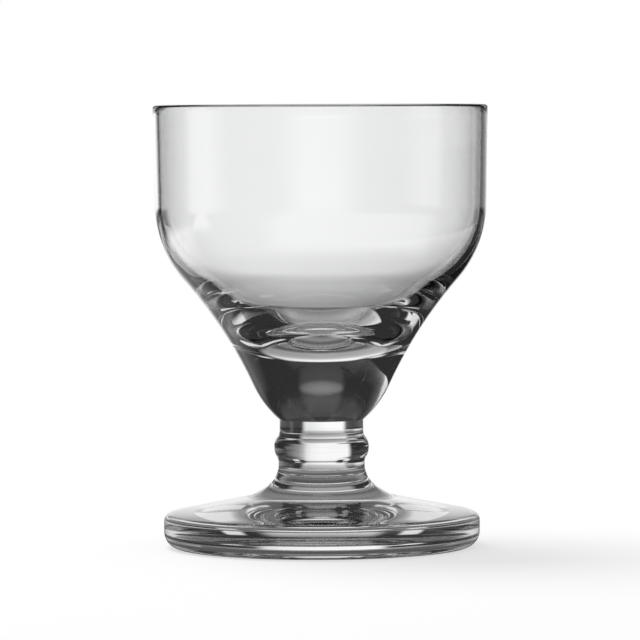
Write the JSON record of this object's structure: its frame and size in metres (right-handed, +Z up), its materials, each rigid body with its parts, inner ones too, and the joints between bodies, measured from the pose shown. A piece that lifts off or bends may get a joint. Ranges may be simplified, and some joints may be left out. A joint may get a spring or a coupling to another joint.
{
  "type": "tasting glass",
  "caption": "Small stemmed tasting glass in clear glass: straight-sided bowl on a heavy solid base, short knopped stem and thick round foot.",
  "frame": {"origin": "centre of the foot's standing ring, on the table", "axes": "+Z up along the axis of the glass; X and Y are level and equal, as the glass is round"},
  "size_m": [0.0666, 0.0666, 0.088],
  "materials": {
    "bowl_glass": "fire-polished, clear",
    "stem_glass": "fire-polished, clear",
    "foot_glass": "fire-polished, clear"
  },
  "bodies": {
    "root": {"foot": "foot_glass", "stem": "stem_glass", "bowl": "bowl_glass"}
  },
  "joints": []
}
